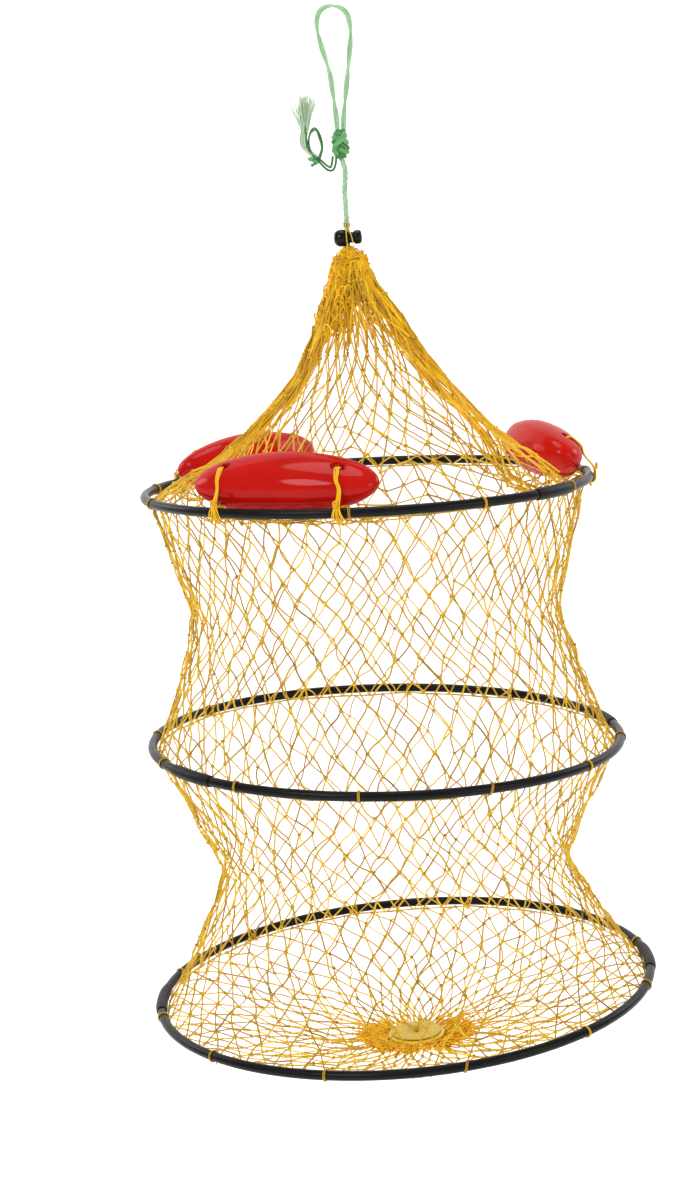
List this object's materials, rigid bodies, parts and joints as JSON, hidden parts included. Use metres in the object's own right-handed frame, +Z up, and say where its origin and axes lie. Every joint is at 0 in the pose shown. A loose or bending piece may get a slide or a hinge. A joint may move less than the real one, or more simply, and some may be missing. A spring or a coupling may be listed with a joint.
{
  "type": "folding crab trap",
  "caption": "Hanging folding net trap: nested hoops with knotted netting, a closed cone mouth with a cord lock, floats on the top hoop, a gathered base and a looped rope.",
  "frame": {"origin": "the inside top of the rope's hanging loop, where a hook carries the trap", "axes": "+Z up along the line through the hoops' centres, -Y is the front, +X is to the right seen from the front"},
  "size_m": [0.4014, 0.3994, 0.8125],
  "materials": {
    "hoop": "black satin plastic tube",
    "wire": "drawn steel wire",
    "net": "golden twisted polyethylene twine",
    "float": "glossy red blown plastic",
    "rope": "pale green twisted rope",
    "lock": "black moulded plastic",
    "spring": "spring steel",
    "disc": "translucent yellow plastic",
    "plate": "olive tan plastic"
  },
  "bodies": {
    "hanging_rope": {"rope_loop": "rope", "rope_lead": "rope", "rope_tail": "rope", "rope_knot": "rope", "mouth_gather": "net", "mouth_drawstring": "net", "lock_tie_twine": "net", "mouth_net": "net"},
    "top_hoop": {"top_hoop_right_tube": "hoop", "top_hoop_left_tube": "hoop", "top_hoop_sleeve_1": "hoop", "top_hoop_sleeve_2": "hoop", "top_hoop_core_wire": "wire", "top_hoop_lacing": "net", "front_float_upper_shell": "float", "front_float_lower_shell": "float", "front_float_tie_1": "net", "front_float_tie_2": "net", "right_float_upper_shell": "float", "right_float_lower_shell": "float", "right_float_tie_1": "net", "right_float_tie_2": "net", "back_float_upper_shell": "float", "back_float_lower_shell": "float", "back_float_tie_1": "net", "back_float_tie_2": "net", "upper_net": "net"},
    "middle_hoop": {"middle_hoop_right_tube": "hoop", "middle_hoop_left_tube": "hoop", "middle_hoop_sleeve_1": "hoop", "middle_hoop_sleeve_2": "hoop", "middle_hoop_core_wire": "wire", "middle_hoop_lacing": "net", "lower_net": "net"},
    "bottom_hoop": {"bottom_hoop_right_tube": "hoop", "bottom_hoop_left_tube": "hoop", "bottom_hoop_sleeve_1": "hoop", "bottom_hoop_sleeve_2": "hoop", "bottom_hoop_core_wire": "wire", "bottom_hoop_lacing": "net", "base_net": "net"},
    "base_disc": {"base_disc": "disc", "base_plate": "plate", "base_knot": "net"},
    "cord_lock": {"lock_barrel": "lock", "lock_spring": "spring"},
    "lock_plunger": {"lock_plunger": "lock"}
  },
  "joints": [
    {"name": "top_hoop_lift", "type": "slide", "parent": "hanging_rope", "child": "top_hoop", "axis": [0, 0, 1], "range_m": [0, 0.135], "deforming": ["mouth_net"]},
    {"name": "middle_hoop_lift", "type": "slide", "parent": "top_hoop", "child": "middle_hoop", "axis": [0, 0, 1], "range_m": [0, 0.201], "deforming": ["upper_net"]},
    {"name": "bottom_hoop_lift", "type": "slide", "parent": "middle_hoop", "child": "bottom_hoop", "axis": [0, 0, 1], "range_m": [0, 0.201], "deforming": ["lower_net"]},
    {"name": "base_disc_lift", "type": "slide", "parent": "bottom_hoop", "child": "base_disc", "axis": [0, 0, 1], "range_m": [0, 0.045], "deforming": ["base_net"]},
    {"name": "cord_lock_slide", "type": "slide", "parent": "hanging_rope", "child": "cord_lock", "axis": [0, 0, 1], "range_m": [0, 0.03], "deforming": ["lock_tie_twine"]},
    {"name": "plunger_press", "type": "slide", "parent": "cord_lock", "child": "lock_plunger", "axis": [-1, 0, 0], "range_m": [0, 0.003], "stiffness_N_per_m": 600, "springref_m": -0.004, "deforming": ["lock_spring"]}
  ]
}
